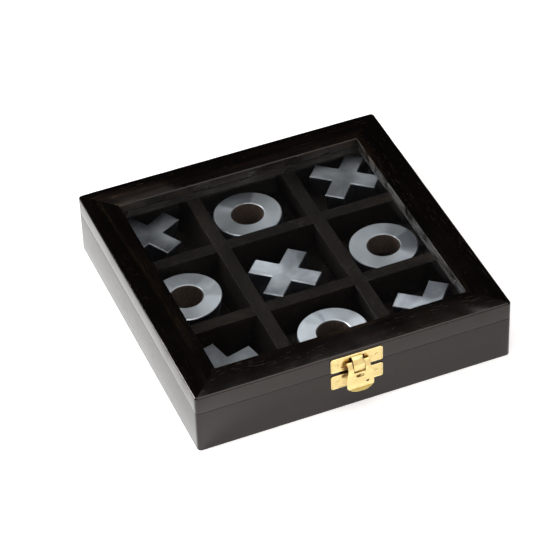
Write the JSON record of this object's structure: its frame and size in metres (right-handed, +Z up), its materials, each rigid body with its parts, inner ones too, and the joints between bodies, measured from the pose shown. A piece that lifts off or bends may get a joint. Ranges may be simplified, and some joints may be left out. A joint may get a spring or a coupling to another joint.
{
  "type": "tic tac toe set",
  "caption": "Square dark wood tic tac toe box with crossed dividers, hinged glazed lid, brass hasp catch and thick loose metal X and O pieces in its cells.",
  "frame": {"origin": "centre of the underside that rests on the table", "axes": "+X to the right seen from the catch, +Y from the catch towards the hinges, +Z up"},
  "size_m": [0.4826, 0.5092, 0.1],
  "materials": {
    "case_wood": "ebonised open-grain hardwood, satin lacquer",
    "glass": "clear float glass",
    "piece_metal": "polished, fine turned and brushed marks",
    "brass": "bright polished, lacquered"
  },
  "bodies": {
    "base": {"base_front_wall": "case_wood", "base_right_wall": "case_wood", "base_back_wall": "case_wood", "base_left_wall": "case_wood", "base_floor_panel": "case_wood", "divider_front": "case_wood", "divider_rear": "case_wood", "divider_left": "case_wood", "divider_right": "case_wood", "catch_keeper_plate": "brass", "catch_keeper_nails": "brass", "catch_staple": "brass", "hinge_left_base_leaf": "brass", "hinge_right_base_leaf": "brass", "hinge_left_pin": "brass", "hinge_right_pin": "brass", "hinge_base_screws": "brass"},
    "lid": {"lid_front_rail": "case_wood", "lid_right_rail": "case_wood", "lid_back_rail": "case_wood", "lid_left_rail": "case_wood", "lid_glass": "glass", "glass_bead_front": "case_wood", "glass_bead_right": "case_wood", "glass_bead_back": "case_wood", "glass_bead_left": "case_wood", "catch_strike_plate": "brass", "catch_strike_nails": "brass", "catch_hasp_pin": "brass", "hinge_left_lid_leaf": "brass", "hinge_right_lid_leaf": "brass", "hinge_lid_screws": "brass"},
    "hasp": {"catch_hasp": "brass"},
    "x_rear_left": {"x_piece_rear_left": "piece_metal"},
    "o_rear": {"o_piece_rear": "piece_metal"},
    "x_rear_right": {"x_piece_rear_right": "piece_metal"},
    "o_left": {"o_piece_left": "piece_metal"},
    "x_centre": {"x_piece_centre": "piece_metal"},
    "o_right": {"o_piece_right": "piece_metal"},
    "x_front_left": {"x_piece_front_left": "piece_metal"},
    "o_front": {"o_piece_front": "piece_metal"},
    "x_front_right": {"x_piece_front_right": "piece_metal"}
  },
  "joints": [
    {"name": "lid_hinge", "type": "hinge", "parent": "base", "child": "lid", "pos_m": [0, 0.2451, 0.0708], "axis": [-1, 0, 0], "range_deg": [0, 105]},
    {"name": "hasp_swing", "type": "hinge", "parent": "lid", "child": "hasp", "pos_m": [0, -0.2459, 0.0828], "axis": [-1, 0, 0], "range_deg": [0, 110]},
    {"name": "x_rear_left_lift", "type": "slide", "parent": "base", "child": "x_rear_left", "axis": [0, 0, 1], "range_m": [0, 0.014]},
    {"name": "o_rear_lift", "type": "slide", "parent": "base", "child": "o_rear", "axis": [0, 0, 1], "range_m": [0, 0.014]},
    {"name": "x_rear_right_lift", "type": "slide", "parent": "base", "child": "x_rear_right", "axis": [0, 0, 1], "range_m": [0, 0.014]},
    {"name": "o_left_lift", "type": "slide", "parent": "base", "child": "o_left", "axis": [0, 0, 1], "range_m": [0, 0.014]},
    {"name": "x_centre_lift", "type": "slide", "parent": "base", "child": "x_centre", "axis": [0, 0, 1], "range_m": [0, 0.024]},
    {"name": "o_right_lift", "type": "slide", "parent": "base", "child": "o_right", "axis": [0, 0, 1], "range_m": [0, 0.014]},
    {"name": "x_front_left_lift", "type": "slide", "parent": "base", "child": "x_front_left", "axis": [0, 0, 1], "range_m": [0, 0.014]},
    {"name": "o_front_lift", "type": "slide", "parent": "base", "child": "o_front", "axis": [0, 0, 1], "range_m": [0, 0.014]},
    {"name": "x_front_right_lift", "type": "slide", "parent": "base", "child": "x_front_right", "axis": [0, 0, 1], "range_m": [0, 0.014]}
  ]
}
